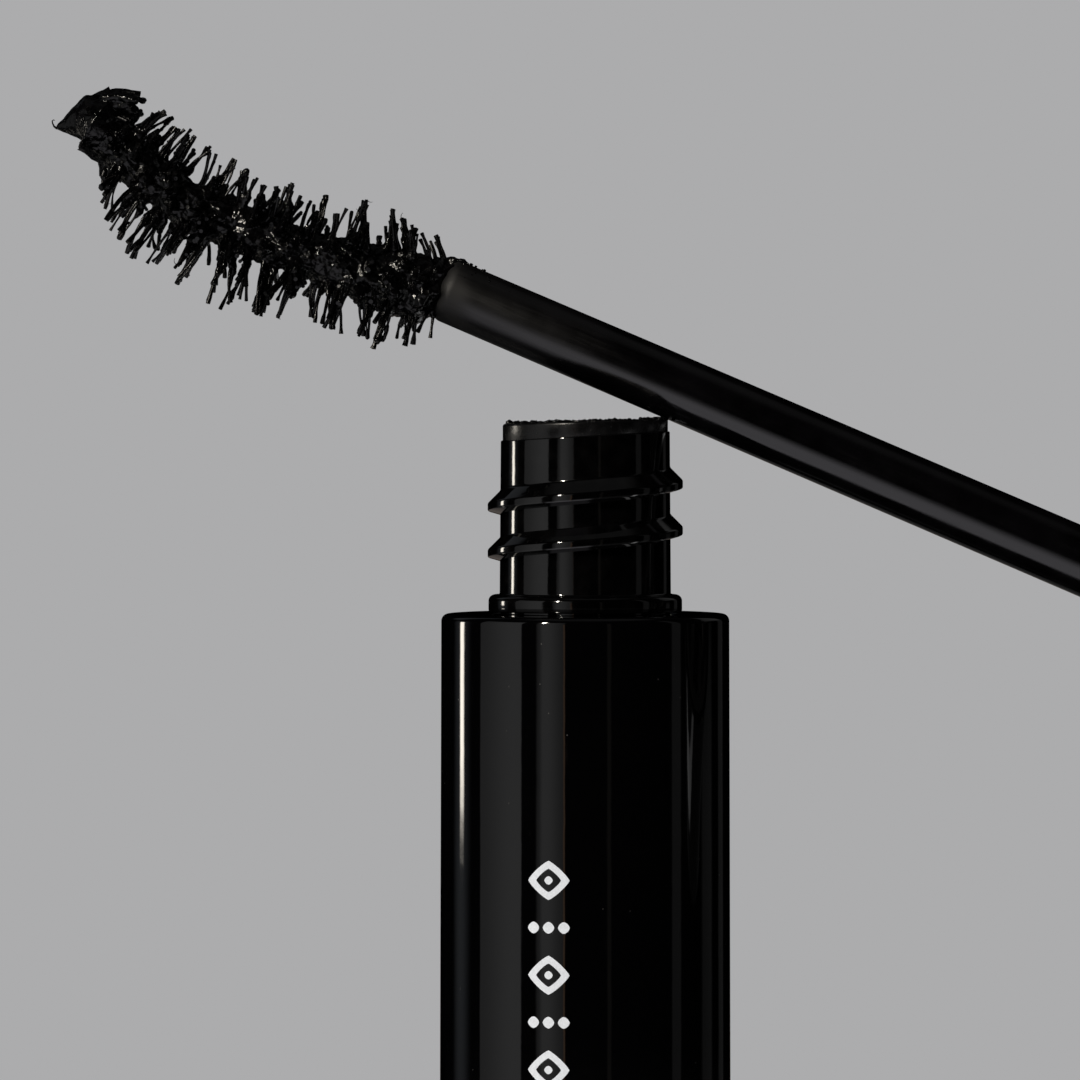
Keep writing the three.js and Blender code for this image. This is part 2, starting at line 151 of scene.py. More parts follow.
def finished(name, mesh, sharp_degrees=30):
    """An object from a mesh, its faces pointing out and its soft edges shaded smooth."""
    work = bmesh.new()
    work.from_mesh(mesh)
    bmesh.ops.recalc_face_normals(work, faces=work.faces)
    work.to_mesh(mesh)
    work.free()
    mesh.shade_smooth()
    mesh.set_sharp_from_angle(angle=math.radians(sharp_degrees))
    piece = bpy.data.objects.new(name, mesh)
    bpy.context.scene.collection.objects.link(piece)
    return piece


def fitted(piece, body, slot, material, *nodes):
    """A piece on its CAD body, with its finish, in place of the nodes it stands for."""
    piece.data.materials.append(material)
    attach(piece, body)
    if nodes:
        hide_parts(*nodes)
    return piece


def joined(shapes):
    """Several (points, faces) as one."""
    points, faces = [], []
    for more_points, more_faces in shapes:
        start = len(points)
        points.extend(more_points)
        faces.extend([index + start for index in face] for face in more_faces)
    return points, faces


def corner(centre_r, centre_z, radius, start, end, steps=8):
    """A rounded corner of a profile: an arc from one angle to another, in degrees."""
    angles = (math.radians(start + (end - start) * i / steps) for i in range(steps + 1))
    return [(centre_r + radius * math.cos(a), centre_z + radius * math.sin(a)) for a in angles]


def spun(profile, segments=192):
    """A profile of (radius, height) spun about Z. It starts and ends on the axis, or closes on itself."""
    points, rings = [], []
    for radius, height in profile:
        start = len(points)
        if radius == 0:
            points.append((0, 0, height))
            rings.append([start] * segments)
            continue
        for i in range(segments):
            angle = TAU * i / segments
            points.append((radius * math.cos(angle), radius * math.sin(angle), height))
        rings.append(list(range(start, start + segments)))
    pairs = list(zip(rings, rings[1:]))
    if profile[0][0] != 0:
        pairs.append((rings[-1], rings[0]))
    faces = []
    for low, high in pairs:
        for i in range(segments):
            j = (i + 1) % segments
            face = []
            for index in (low[i], low[j], high[j], high[i]):
                if index not in face:
                    face.append(index)
            faces.append(face)
    return points, faces


def lofted(rings, closed=False):
    """Rings of points joined in order, with a face across each end, or the last joined to the first."""
    count = len(rings[0])
    points = [point for ring in rings for point in ring]
    faces = [] if closed else [list(range(count)), list(range(len(points) - count, len(points)))]
    for i in range(len(rings) - (0 if closed else 1)):
        after = (i + 1) % len(rings) * count
        for j in range(count):
            k = (j + 1) % count
            faces.append([i * count + j, i * count + k, after + k, after + j])
    return points, faces


def screw_ridge(root_r, crest_r, start_z, start_angle, turns, profile, steps_per_turn=128):
    """A right-handed ridge round Z, thinner at both ends. The profile is (share of depth, height) pairs."""
    run_in = 0.16
    rings = []
    steps = round(turns * steps_per_turn)
    for i in range(steps + 1):
        turn = i / steps_per_turn
        angle = start_angle + TAU * turn
        share_in = max(0.06, min(1, min(turn, turns - turn) / run_in))
        depth = (crest_r - root_r) * math.sin(share_in * math.pi / 2)
        ring = []
        for share, height in profile:
            radius = root_r + depth * share
            z = start_z + THREAD_PITCH * turn + height
            ring.append((radius * math.cos(angle), radius * math.sin(angle), z))
        rings.append(ring)
    return lofted(rings)


def rod(path, radii, sides=7):
    """A closed round rod along a path of points, with a radius at each."""
    path = [Vector(point) for point in path]
    rings = []
    across = None
    for i, at in enumerate(path):
        forward = (path[min(i + 1, len(path) - 1)] - path[max(i - 1, 0)]).normalized()
        if across is None:
            across = forward.orthogonal().normalized()
        across = (across - forward * across.dot(forward)).normalized()
        other = forward.cross(across)
        ring = []
        for j in range(sides):
            angle = TAU * j / sides
            ring.append(at + (across * math.cos(angle) + other * math.sin(angle)) * radii[i])
        rings.append(ring)
    return lofted(rings)


def remeshed(name, shape, voxel, smoothing):
    """The union of overlapping closed shapes as one even mesh, its creases melted like paste."""
    points, faces = shape
    mesh = bpy.data.meshes.new(name)
    mesh.from_pydata([tuple(point) for point in points], [], faces)
    raw = bpy.data.objects.new(name + "_raw", mesh)
    bpy.context.scene.collection.objects.link(raw)
    remesh = raw.modifiers.new("union", "REMESH")
    remesh.mode = "VOXEL"
    remesh.voxel_size = voxel
    remesh.adaptivity = 0
    smooth = raw.modifiers.new("melt", "SMOOTH")
    smooth.factor = 0.5
    smooth.iterations = smoothing
    depsgraph = bpy.context.evaluated_depsgraph_get()
    result = bpy.data.meshes.new_from_object(raw.evaluated_get(depsgraph))
    bpy.data.objects.remove(raw)
    bpy.data.meshes.remove(mesh)
    result.name = name
    return result


def roughened(mesh, waves):
    """Pushes each point in or out by noise. The waves are (ripples per millimetre, height) pairs.
    The cone of paste beyond the last bristles stays smooth."""
    calm_from, calm_share = 22.5, 0.7
    moved = []
    for vertex in mesh.vertices:
        push = 0
        for layer, (ripples, height) in enumerate(waves):
            push += height * noise.noise(vertex.co * ripples + Vector((7.3 * layer, 0, 0)))
        calm = 1 - calm_share * min(1, max(0, vertex.co.z - calm_from))
        moved.extend(vertex.co + vertex.normal * push * calm)
    mesh.vertices.foreach_set("co", moved)
    mesh.update()


# ---------------------------------------------------------------- materials


class Finish:
    """A Principled material that is put together from noise in millimetres of the object's own space."""

    def __init__(self, name, **sockets):
        self.material = bpy.data.materials.new(name)
        self.material.use_nodes = True
        self.tree = self.material.node_tree
        self.shader = self.tree.nodes["Principled BSDF"]
        for socket, value in sockets.items():
            self.shader.inputs[socket.replace("_", " ").title().replace("Ior", "IOR")].default_value = value
        self.place = self.tree.nodes.new("ShaderNodeTexCoord").outputs["Object"]
        self.height = None

    def space(self, stretch=(1, 1, 1), turn=0):
        """Coordinates in millimetres, turned about Y and then stretched."""
        turned = self.tree.nodes.new("ShaderNodeMapping")
        turned.inputs["Rotation"].default_value = (0, turn, 0)
        turned.inputs["Scale"].default_value = (1 / MM, 1 / MM, 1 / MM)
        self.tree.links.new(self.place, turned.inputs["Vector"])
        stretched = self.tree.nodes.new("ShaderNodeMapping")
        stretched.inputs["Scale"].default_value = stretch
        self.tree.links.new(turned.outputs["Vector"], stretched.inputs["Vector"])
        return stretched.outputs["Vector"]

    def noise(self, scale, detail=4, stretch=(1, 1, 1), turn=0):
        texture = self.tree.nodes.new("ShaderNodeTexNoise")
        texture.inputs["Scale"].default_value = scale
        texture.inputs["Detail"].default_value = detail
        self.tree.links.new(self.space(stretch, turn), texture.inputs["Vector"])
        return texture.outputs["Fac"]

    def specks(self, scale, size):
        """1 in small dots scattered about, 0 elsewhere."""
        cells = self.tree.nodes.new("ShaderNodeTexVoronoi")
        cells.inputs["Scale"].default_value = scale
        self.tree.links.new(self.space(), cells.inputs["Vector"])
        return self.between(cells.outputs["Distance"], size, size * 0.6, 0, 1)

    def between(self, value, low, high, to_low, to_high):
        """The value from low to high, spread over to_low to to_high."""
        spread = self.tree.nodes.new("ShaderNodeMapRange")
        spread.interpolation_type = "SMOOTHSTEP"
        for socket, number in zip(("From Min", "From Max", "To Min", "To Max"), (low, high, to_low, to_high)):
            spread.inputs[socket].default_value = number
        self.tree.links.new(value, spread.inputs["Value"])
        return spread.outputs["Result"]

    def sum(self, first, second):
        added = self.tree.nodes.new("ShaderNodeMath")
        added.operation = "ADD"
        self.tree.links.new(first, added.inputs[0])
        self.tree.links.new(second, added.inputs[1])
        return added.outputs["Value"]

    def colour(self, value, *stops):
        """Base colour from a value through (position, grey or colour) stops."""
        ramp = self.tree.nodes.new("ShaderNodeValToRGB")
        elements = ramp.color_ramp.elements
        while len(elements) < len(stops):
            elements.new(0.5)
        for element, (position, shade) in zip(elements, stops):
            element.position = position
            element.color = (*shade, 1)
        self.tree.links.new(value, ramp.inputs["Fac"])
        self.tree.links.new(ramp.outputs["Color"], self.shader.inputs["Base Color"])

    def roughness(self, value):
        self.tree.links.new(value, self.shader.inputs["Roughness"])

    def bump(self, value, depth):
        """A relief of the given depth in millimetres, on top of any relief before it."""
        relief = self.tree.nodes.new("ShaderNodeBump")
        relief.inputs["Strength"].default_value = 1
        relief.inputs["Distance"].default_value = depth * MM
        self.tree.links.new(value, relief.inputs["Height"])
        if self.height:
            self.tree.links.new(self.height, relief.inputs["Normal"])
        self.height = relief.outputs["Normal"]
        self.tree.links.new(self.height, self.shader.inputs["Normal"])


def gloss_shell():
    """High-gloss black moulding: faint waviness, hairline handling marks and a little dust."""
    finish = Finish("gloss_shell", ior=1.5, specular_ior_level=0.5)
    marks = finish.noise(3.5, 3, (1, 1, 0.05))
    dust = finish.specks(0.8, 0.045)
    finish.colour(dust, (0, (0.0007, 0.0007, 0.0009)), (1, (0.02, 0.019, 0.018)))
    handled = finish.between(marks, 0.62, 0.75, 0.035, 0.11)
    finish.roughness(finish.sum(handled, finish.between(dust, 0, 1, 0, 0.4)))
    finish.bump(finish.noise(0.22, 2), 0.012)
    finish.bump(finish.noise(2.4, 3), 0.0006)
    return finish.material


def gloss_neck():
    """The bottle's neck: glossy black with flow lines and thin smudges of product."""
    finish = Finish("gloss_neck", ior=1.5)
    smudge = finish.noise(0.9, 5)
    finish.colour(smudge, (0.45, (0.0006, 0.0006, 0.0007)), (0.75, (0.002, 0.0019, 0.002)))
    finish.roughness(finish.between(smudge, 0.52, 0.72, 0.055, 0.1))
    finish.bump(finish.noise(0.35, 2), 0.01)
    finish.bump(finish.noise(5, 4), 0.0012)
    return finish.material


def soft_wiper():
    """Soft low-density plastic: a dull bloom, rubbed patches and grains of dried product."""
    finish = Finish("soft_wiper", ior=1.5, specular_ior_level=0.36)
    bloom = finish.noise(1.1, 5)
    finish.colour(bloom, (0.35, (0.0015, 0.0015, 0.0017)), (0.7, (0.004, 0.004, 0.0045)))
    finish.roughness(finish.between(bloom, 0.35, 0.7, 0.2, 0.32))
    finish.bump(finish.noise(7, 4), 0.006)
    finish.bump(finish.specks(2.2, 0.12), 0.02)
    return finish.material


def satin_stem():
    """Satin black rod, duller towards the brush: fine marks drawn along it by the wiper, and a thin film."""
    finish = Finish("satin_stem", ior=1.5)
    drawn = finish.noise(5, 4, (1, 1, 0.05), math.pi / 2 - WAND_SLOPE)
    film = finish.noise(0.35, 4)
    end_x = TWIST["pos_m"][0] / MM
    across = finish.tree.nodes.new("ShaderNodeSeparateXYZ")
    finish.tree.links.new(finish.space(), across.inputs["Vector"])
    along_x = across.outputs["X"]
    dull_from, dull_to, most_dull = 1, 17, 0.24
    film_from, film_to, most_film = 0.6, 2.2, 0.25
    dulled = finish.between(along_x, end_x + dull_from, end_x + dull_to, most_dull, 0)
    finish.colour(film, (0.4, (0.0009, 0.0008, 0.001)), (0.75, (0.0022, 0.002, 0.0026)))
    end_film = finish.between(along_x, end_x + film_from, end_x + film_to, most_film, 0)
    marks = finish.sum(finish.between(film, 0.35, 0.7, 0.1, 0.16), finish.between(drawn, 0.4, 0.8, 0, 0.08))
    finish.roughness(finish.sum(marks, finish.sum(dulled, end_film)))
    finish.bump(drawn, 0.002)
    finish.bump(finish.noise(9, 3), 0.0015)
    return finish.material


def moulded_plastic():
    """Matt dark grey moulding with a fine spark-eroded grain."""
    finish = Finish("moulded_plastic", ior=1.48, specular_ior_level=0.3)
    grain = finish.noise(14, 3)
    finish.colour(grain, (0.3, (0.008, 0.008, 0.009)), (0.75, (0.016, 0.016, 0.018)))
    finish.roughness(finish.between(grain, 0.3, 0.7, 0.42, 0.58))
    finish.bump(grain, 0.006)
    return finish.material


def white_foam():
    """Pressed foam disc: pale, with open pores and a grey stain."""
    finish = Finish("white_foam", ior=1.45)
    stain = finish.noise(0.7, 4)
    finish.colour(stain, (0.35, (0.62, 0.61, 0.58)), (0.75, (0.3, 0.29, 0.28)))
    finish.roughness(finish.between(stain, 0, 1, 0.75, 0.9))
    finish.bump(finish.specks(6, 0.3), 0.03)
    return finish.material


def bright_steel(name, grain_stretch, roughness_low, roughness_high):
    """Steel with drawn or turned lines and darker patches."""
    finish = Finish(name, metallic=1)
    lines = finish.noise(6, 4, grain_stretch)
    finish.colour(lines, (0.3, (0.3, 0.3, 0.31)), (0.7, (0.55, 0.55, 0.56)))
    finish.roughness(finish.between(lines, 0.3, 0.7, roughness_low, roughness_high))
    finish.bump(lines, 0.004)
    return finish.material


def wet_product():
    """Mascara paste: deep black and wet, with duller skins."""
    finish = Finish("wet_product", ior=1.46, specular_ior_level=0.27)
    film = finish.noise(0.6, 5)
    skin = finish.noise(2.3, 4)
    finish.colour(film, (0.45, (0.0005, 0.0005, 0.0006)), (0.75, (0.0018, 0.0016, 0.002)))
    finish.roughness(finish.between(skin, 0.4, 0.65, 0.07, 0.24))
    finish.bump(finish.noise(1.8, 4), 0.06)
    finish.bump(finish.noise(5, 3), 0.03)
    return finish.material


def coated_nylon():
    """Bristles: black nylon under a lumpy coat of paste."""
    finish = Finish("coated_nylon", ior=1.46, specular_ior_level=0.3)
    lumps = finish.noise(5, 3)
    finish.colour(lumps, (0.35, (0.0005, 0.0005, 0.0006)), (0.75, (0.0015, 0.0015, 0.0018)))
    finish.roughness(finish.between(lumps, 0.35, 0.7, 0.2, 0.38))
    finish.bump(lumps, 0.02)
    return finish.material


def white_ink():
    """Screen-printed white: a thin opaque film with a slightly grainy face."""
    finish = Finish("white_ink", ior=1.45)
    grain = finish.noise(9, 4)
    finish.colour(grain, (0.3, (0.7, 0.74, 0.82)), (0.7, (0.82, 0.87, 0.95)))
    finish.roughness(finish.between(grain, 0.3, 0.7, 0.4, 0.55))
    finish.bump(grain, 0.002)
    return finish.material


# ---------------------------------------------------------------- tube


def outer_sleeve():
    """The glossy outer tube with its rounded shoulder edge."""
    mouth_r = BEAD_R + 0.2
    underside = SHOULDER_Z - SHOULDER_THICK
    bottom = SLEEVE_LOW.z
    return spun([
        (SLEEVE_BASE_R - SLEEVE_WALL, bottom),
        *corner(SLEEVE_BASE_R - 0.12, bottom + 0.12, 0.12, -90, 0, 4),
        *corner(SLEEVE_TOP_R - SLEEVE_EDGE_R, SHOULDER_Z - SLEEVE_EDGE_R, SLEEVE_EDGE_R, 0, 90, 12),
        *corner(mouth_r + 0.15, SHOULDER_Z - 0.15, 0.15, 90, 180, 4),
        (mouth_r, underside),
        (SLEEVE_TOP_R - SLEEVE_WALL, underside),
    ], 256)


def inner_bottle():
    """The bottle with its bead and buttress thread. Its rim is cut a little high on the wand's side."""
    shoulder = SHOULDER_Z - SHOULDER_THICK - GAP
    bead_z = SHOULDER_Z + GAP
    bead_top = bead_z + BEAD_THICK
    neck_top = BOTTLE_HIGH.z + 0.1
    inside_r = BOTTLE_R - BOTTLE_WALL
    bead_edge = 0.4
    base_z = BOTTLE_LOW.z
    body = spun([
        (0, base_z),
        *corner(BOTTLE_R - 0.6, base_z + 0.6, 0.6, -90, 0),
        *corner(BOTTLE_R - 0.3, shoulder - 0.3, 0.3, 0, 90, 4),
        (NECK_R, shoulder),
        (NECK_R, bead_z),
        *corner(BEAD_R - 0.08, bead_z + 0.08, 0.08, -90, 0, 3),
        *corner(BEAD_R - bead_edge, bead_top - bead_edge, bead_edge, 0, 90, 10),
        *corner(NECK_R + 0.17, bead_top + 0.12, 0.12, 270, 180, 4),
        *corner(NECK_R - 0.1, neck_top - 0.08, 0.08, 0, 90, 4),
        (NECK_BORE_R, neck_top),
        (NECK_BORE_R, shoulder - 0.6),
        (inside_r, shoulder - BOTTLE_WALL - 1),
        (inside_r, base_z + BOTTLE_WALL + 1),
        (inside_r - 1, base_z + BOTTLE_WALL),
        (0, base_z + BOTTLE_WALL),
    ])
    root_r = NECK_R - 0.35
    flank_foot, fillet = 0.99, 0.3
    flank_fillet = corner(NECK_R + fillet, flank_foot + fillet * math.tan(math.pi / 8), fillet, 225, 180, 5)
    flank = [((radius - root_r) / (THREAD_CREST_R - root_r), height) for radius, height in flank_fillet]
    buttress = [
        (0, -0.58), (0.93, -0.29), (0.985, -0.26), (1, -0.2), (1, -0.12),
        (1, 0.06), (1, 0.13), (0.985, 0.19), (0.94, 0.26), *flank, (0, 1.4),
    ]
    turns = 2
    thread = screw_ridge(root_r, THREAD_CREST_R, THREAD_START_Z, math.pi / 2, turns, buttress)
    points, faces = joined([body, thread])
    cut_from = neck_top - 0.3
    rise = 0.055
    points = [(x, y, z + (rise * x if z > cut_from else 0)) for x, y, z in points]
    return points, faces


def wiper():
    """The wiper: its lip leans, higher and thinner on the wand's side, as a worn insert does."""
    lip_z = RIM_Z - LIP_THICK
    funnel_z = RIM_Z - 6
    orifice_z = RIM_Z - 12
    points, faces = spun([
        (WIPER_MOUTH_R, funnel_z),
        *corner(WIPER_MOUTH_R + 0.3, RIM_Z - 0.3, 0.3, 180, 90, 6),
        *corner(LIP_R - LIP_EDGE_R, RIM_Z - LIP_EDGE_R, LIP_EDGE_R, 90, 0),
        *corner(LIP_R - 0.06, lip_z + 0.06, 0.06, 0, -90, 3),
        (WIPER_SLEEVE_R, lip_z),
        (WIPER_SLEEVE_R, funnel_z),
        (WIPER_ORIFICE_R + 0.5, orifice_z),
        *corner(WIPER_ORIFICE_R + 0.12, orifice_z + 0.12, 0.12, 270, 180, 4),
    ])
    top_rise, bottom_rise = 0.03, 0.06
    shaped = []
    for x, y, z in points:
        share = min(1, max(0, (z - lip_z) / LIP_THICK))
        lifted = z + x * (bottom_rise + (top_rise - bottom_rise) * share) if z >= lip_z - 0.01 else z
        shaped.append((x, y, lifted))
    return shaped, faces


def base_plug():
    """The foot: a bevelled disc with a shallow ring groove under it, and the ring that grips the sleeve."""
    bevel = 0.35
    ring_top = BOTTLE_LOW.z - 0.2
    bore_r = PLUG_SPIGOT_R - 1.1
    flange_top = SLEEVE_LOW.z - GAP
    groove_r, groove_half, groove_depth = 6.2, 0.35, 0.15
    return spun([
        (0, 0),
        (groove_r - groove_half - groove_depth, 0),
        (groove_r - groove_half, groove_depth),
        (groove_r + groove_half, groove_depth),
        (groove_r + groove_half + groove_depth, 0),
        (SLEEVE_BASE_R - bevel, 0),
        (SLEEVE_BASE_R - 0.06, bevel - 0.06),
        (SLEEVE_BASE_R, bevel + 0.08),
        *corner(SLEEVE_BASE_R - 0.1, flange_top - 0.1, 0.1, 0, 90, 4),
        (PLUG_SPIGOT_R, flange_top),
        *corner(PLUG_SPIGOT_R - 0.2, ring_top - 0.2, 0.2, 0, 90, 4),
        (bore_r, ring_top),
        (bore_r, 1.9),
        (0, 1.9),
    ], 256)


def lump(centre, radius, rng, flatness=0.7):
    """A small uneven crumb."""
    ball = bmesh.new()
    bmesh.ops.create_icosphere(ball, subdivisions=2, radius=1)
    seed = Vector((rng.uniform(0, 50), rng.uniform(0, 50), 0))
    points = []
    for vertex in ball.verts:
        swell = 1 + 0.6 * noise.noise(vertex.co * 1.3 + seed)
        point = vertex.co * radius * swell
        points.append(Vector(centre) + Vector((point.x, point.y, point.z * flatness)))
    faces = [[vertex.index for vertex in face.verts] for face in ball.faces]
    ball.free()
    return points, faces


def rim_residue():
    """Dried product round the rim: an uneven smear on the lip's inner edge, and crumbs proud of it."""
    rng = random.Random(11)
    lip_top = 0.03
    ring = []
    radii = []
    steps = 160
    for i in range(steps + 1):
        angle = TAU * i / steps
        wander = noise.noise(Vector((4 * math.cos(angle), 4 * math.sin(angle), 3)))
        radius = 4.1 + 0.35 * wander
        x = radius * math.cos(angle)
        ring.append((x, radius * math.sin(angle), RIM_Z - 0.02 + lip_top * x))
        radii.append(0.09 + 0.08 * noise.noise(Vector((9 * math.cos(angle), 9 * math.sin(angle), 1))))
    shapes = [rod(ring, radii, 8)]
    for _ in range(150):
        angle = rng.uniform(0, TAU)
        radius = rng.choice((rng.uniform(3.7, 4.9), rng.uniform(4.6, 4.95)))
        x = radius * math.cos(angle)
        size = rng.uniform(0.08, 0.2) * (1.4 if rng.random() < 0.12 else 1)
        shapes.append(lump((x, radius * math.sin(angle), RIM_Z + lip_top * x), size, rng, 0.85))
    return joined(shapes)


def on_sleeve(arc, z, height):
    """A point on the sleeve: arc length from the front's middle, height up it, height off the surface."""
    radius = SLEEVE_BASE_R + (SLEEVE_TOP_R - SLEEVE_BASE_R) * z / SHOULDER_Z + height
    angle = arc / SLEEVE_TOP_R - math.pi / 2
    return radius * math.cos(angle), radius * math.sin(angle), z


def patch(outline):
    """A printed shape inside an outline of (arc length, height): a film just proud of the surface."""
    return lofted([[on_sleeve(arc, z, height) for arc, z in outline] for height in (PRINT_SUNK, PRINT_PROUD)])


def ring(outline, inner):
    """A printed ring between two outlines."""
    sections = []
    for (arc, z), (inner_arc, inner_z) in zip(outline, inner):
        sections.append([
            on_sleeve(arc, z, PRINT_SUNK), on_sleeve(inner_arc, inner_z, PRINT_SUNK),
            on_sleeve(inner_arc, inner_z, PRINT_PROUD), on_sleeve(arc, z, PRINT_PROUD),
        ])
    return lofted(sections, True)


def lozenge(arc, z, half_width, half_height, sharpness=1.2, steps=48):
    """The outline of a lozenge with slightly rounded corners."""
    outline = []
    for i in range(steps):
        turn = TAU * i / steps
        cos, sin = math.cos(turn), math.sin(turn)
        reach = (abs(cos)**sharpness + abs(sin)**sharpness)**(-1 / sharpness)
        outline.append((arc + half_width * reach * cos, z + half_height * reach * sin))
    return outline


def print_marks():
    """A generic ornament down the front: lozenges with an eye, and rows of three dots."""
    top_z, bottom_z, pitch = 69.4, 18, 2.9
    centre_arc = -2.32
    half_width, half_height = 1.3, 1.2
    line_across, line_up = 0.52, 0.48
    marks = []
    for index in range(int((top_z - bottom_z) / pitch)):
        z = top_z - pitch * (index + 0.5)
        if index % 2 == 0:
            inner = lozenge(centre_arc, z, half_width - line_across, half_height - line_up)
            marks.append(ring(lozenge(centre_arc, z, half_width, half_height), inner))
            marks.append(patch(lozenge(centre_arc, z, 0.26, 0.26, 1.6, 24)))
        else:
            for aside in (-0.95, 0, 0.95):
                marks.append(patch(lozenge(centre_arc + aside, z, 0.36, 0.36, 1.6, 24)))
    return joined(marks)


# ---------------------------------------------------------------- wand


def cap_shell():
    """The cap: a plain glossy cylinder, its closed end softly rounded."""
    mouth = -STEM_EXPOSED
    end = mouth - CAP_LENGTH
    inside_r = CAP_R - CAP_WALL
    return spun([
        (0, end),
        *corner(CAP_R - 0.8, end + 0.8, 0.8, -90, 0, 12),
        *corner(CAP_R - 0.2, mouth - 0.2, 0.2, 0, 90, 5),
        (inside_r, mouth),
        (inside_r, end + CAP_WALL + 0.3),
        (0, end + CAP_WALL + 0.3),
    ], 256)


def cap_liner():
    """The moulding in the cap: a flange at the mouth and the female thread."""
    mouth = -STEM_EXPOSED - LINER_RECESS
    ceiling = mouth - LINER_BORE_DEPTH
    floor = ceiling - LINER_WALL
    hole_r = STEM_CAP_R + 0.3
    body = spun([
        (LINER_BORE_R, ceiling),
        *corner(LINER_BORE_R + 0.4, mouth - 0.4, 0.4, 180, 90, 6),
        *corner(LINER_FLANGE_R - 0.15, mouth - 0.15, 0.15, 90, 0, 4),
        (LINER_FLANGE_R, mouth - LINER_FLANGE_THICK),
        (LINER_R, mouth - LINER_FLANGE_THICK),
        (LINER_R, floor),
        (4.8, floor),
        (4.8, floor - 3.6),
        (3.9, floor - 3.6),
        (3.9, floor),
        (hole_r, floor),
        (hole_r, ceiling),
    ])
    thread = screw_ridge(
        LINER_BORE_R + 0.3, THREAD_CREST_R - 0.45, ceiling + 2.4, 0, 1.5,
        [(0, -0.5), (0.85, -0.26), (1, -0.16), (1, 0.16), (0.85, 0.26), (0, 0.5)],
    )
    return joined([body, thread])


def stem():
    """The stem: a tapered rod with a rounded end, and the head that the cap's socket holds."""
    end_r = 0.8
    head_top = -STEM_EXPOSED - LINER_RECESS - LINER_BORE_DEPTH - LINER_WALL - 1.7
    return spun([
        (0, -5),
        (0.75, -5),
        (0.75, 0),
        *corner(STEM_BRUSH_R - end_r, -end_r, end_r, 90, 0, 12),
        (STEM_CAP_R, -STEM_EXPOSED),
        (STEM_CAP_R, head_top + 1.4),
        (3.5, head_top + 1.4),
        (3.5, head_top),
        (0, head_top),
    ], 128)


def bezier(share):
    a, b, c, d = (Vector(point) for point in BRUSH_BEND)
    rest = 1 - share
    return a * rest**3 + b * 3 * rest * rest * share + c * 3 * rest * share * share + d * share**3


LINE = [bezier(i / 400) for i in range(401)]
LINE_AT = [0.0]
for before, after in zip(LINE, LINE[1:]):
    LINE_AT.append(LINE_AT[-1] + (after - before).length)
BRUSH_LENGTH = LINE_AT[-1]


def brush_frame(distance):
    """Where the brush's line is at a distance along it, and its directions along and up."""
    share = min(max(distance, 0), BRUSH_LENGTH)
    index = min(int(np.searchsorted(LINE_AT, share)), len(LINE) - 1)
    low, high = LINE[max(index - 2, 0)], LINE[min(index + 2, len(LINE) - 1)]
    along = (high - low).normalized()
    at = LINE[index] + along * (distance - share)
    return at, along, SIDE.cross(along)


def brush_point(distance, angle, radius, forward=0):
    """A point off the brush's line. Angle 0 is the upper side, and forward leans it towards the tip."""
    at, along, up = brush_frame(distance)
    return at + (up * math.cos(angle) + SIDE * math.sin(angle)) * radius + along * forward


# The paste round the wire: distance along the brush, and how thick it is above and below
COAT_AT = (0.0, 1.0, 2.6, 5.5, 9.0, 13.0, 17.5, 20.5, 22.6, 24.0)
COAT_ABOVE = (1.6, 1.6, 1.5, 1.5, 1.7, 1.8, 1.5, 1.4, 1.4, 1.2)
COAT_BELOW = (1.8, 2.5, 2.5, 1.8, 1.4, 1.3, 1.35, 1.4, 1.4, 1.2)


def paste_core():
    """The paste packed round the wire."""
    rings = []
    for i in range(80):
        distance = 0.05 + 24 * i / 79
        above = np.interp(distance, COAT_AT, COAT_ABOVE)
        below = np.interp(distance, COAT_AT, COAT_BELOW)
        ring = []
        for j in range(28):
            angle = TAU * j / 28
            top = 0.5 + 0.5 * math.cos(angle)
            radius = below + (above - below) * top
            radius *= 1 + 0.2 * noise.noise(brush_point(distance, angle, 2) * 0.9)
            ring.append(brush_point(distance, angle, radius))
        rings.append(ring)
    return lofted(rings)


def bristle_reach(distance, angle):
    """How far the bristles reach from the line: a short swell at the stem, a rounded tip, longer below."""
    swell = 0.8 + 0.2 * min(1, distance / 2.8)
    past = min(1, max(0, distance - 20.5) / 5)
    return (BRISTLE_R - BRISTLE_BIAS * math.cos(angle)) * swell * math.sqrt(1 - past * past)


